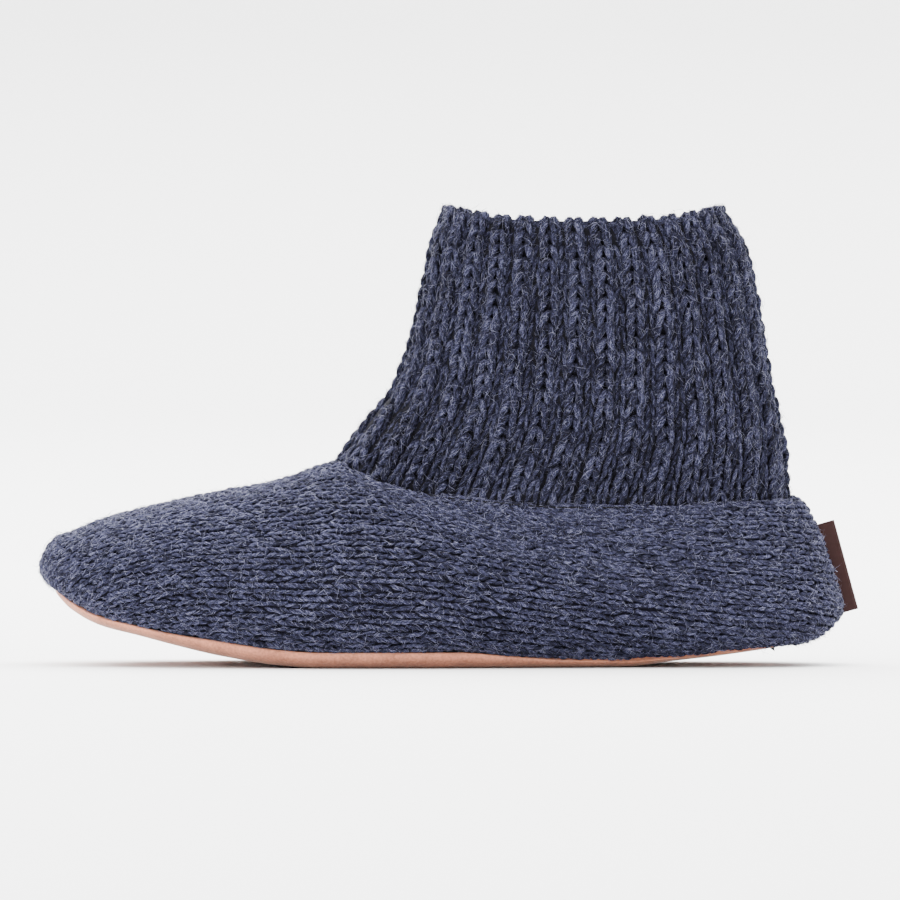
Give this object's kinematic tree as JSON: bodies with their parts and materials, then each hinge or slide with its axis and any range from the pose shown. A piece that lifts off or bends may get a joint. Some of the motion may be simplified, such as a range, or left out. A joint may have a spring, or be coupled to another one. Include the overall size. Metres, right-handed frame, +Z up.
{
  "type": "slipper sock",
  "caption": "Ankle-high slipper sock: knitted foot with a ribbed fold-over cuff on a turned-up soft suede sole, with a foam insole and a ribbon loop at the heel.",
  "frame": {"origin": "on the floor, at the middle of the heel's flat spot under the sole", "axes": "+Z up, -X toward the toe, +X toward the heel, -Y toward the outer side of this left shoe"},
  "size_m": [0.2846, 0.0978, 0.1601],
  "materials": {
    "suede": "soft napped suede, pinkish tan",
    "felt": "brushed felt over foam, grey",
    "wool_knit": "stockinette knit of marled navy wool, lightly fuzzy",
    "wool_rib": "one by one rib knit of marled navy wool, lightly fuzzy",
    "ribbon": "flat woven ribbon, brown, bare"
  },
  "bodies": {
    "root": {"sole": "suede", "insole": "felt", "upper": "wool_knit", "cuff": "wool_rib", "heel_tag": "ribbon"}
  },
  "joints": []
}
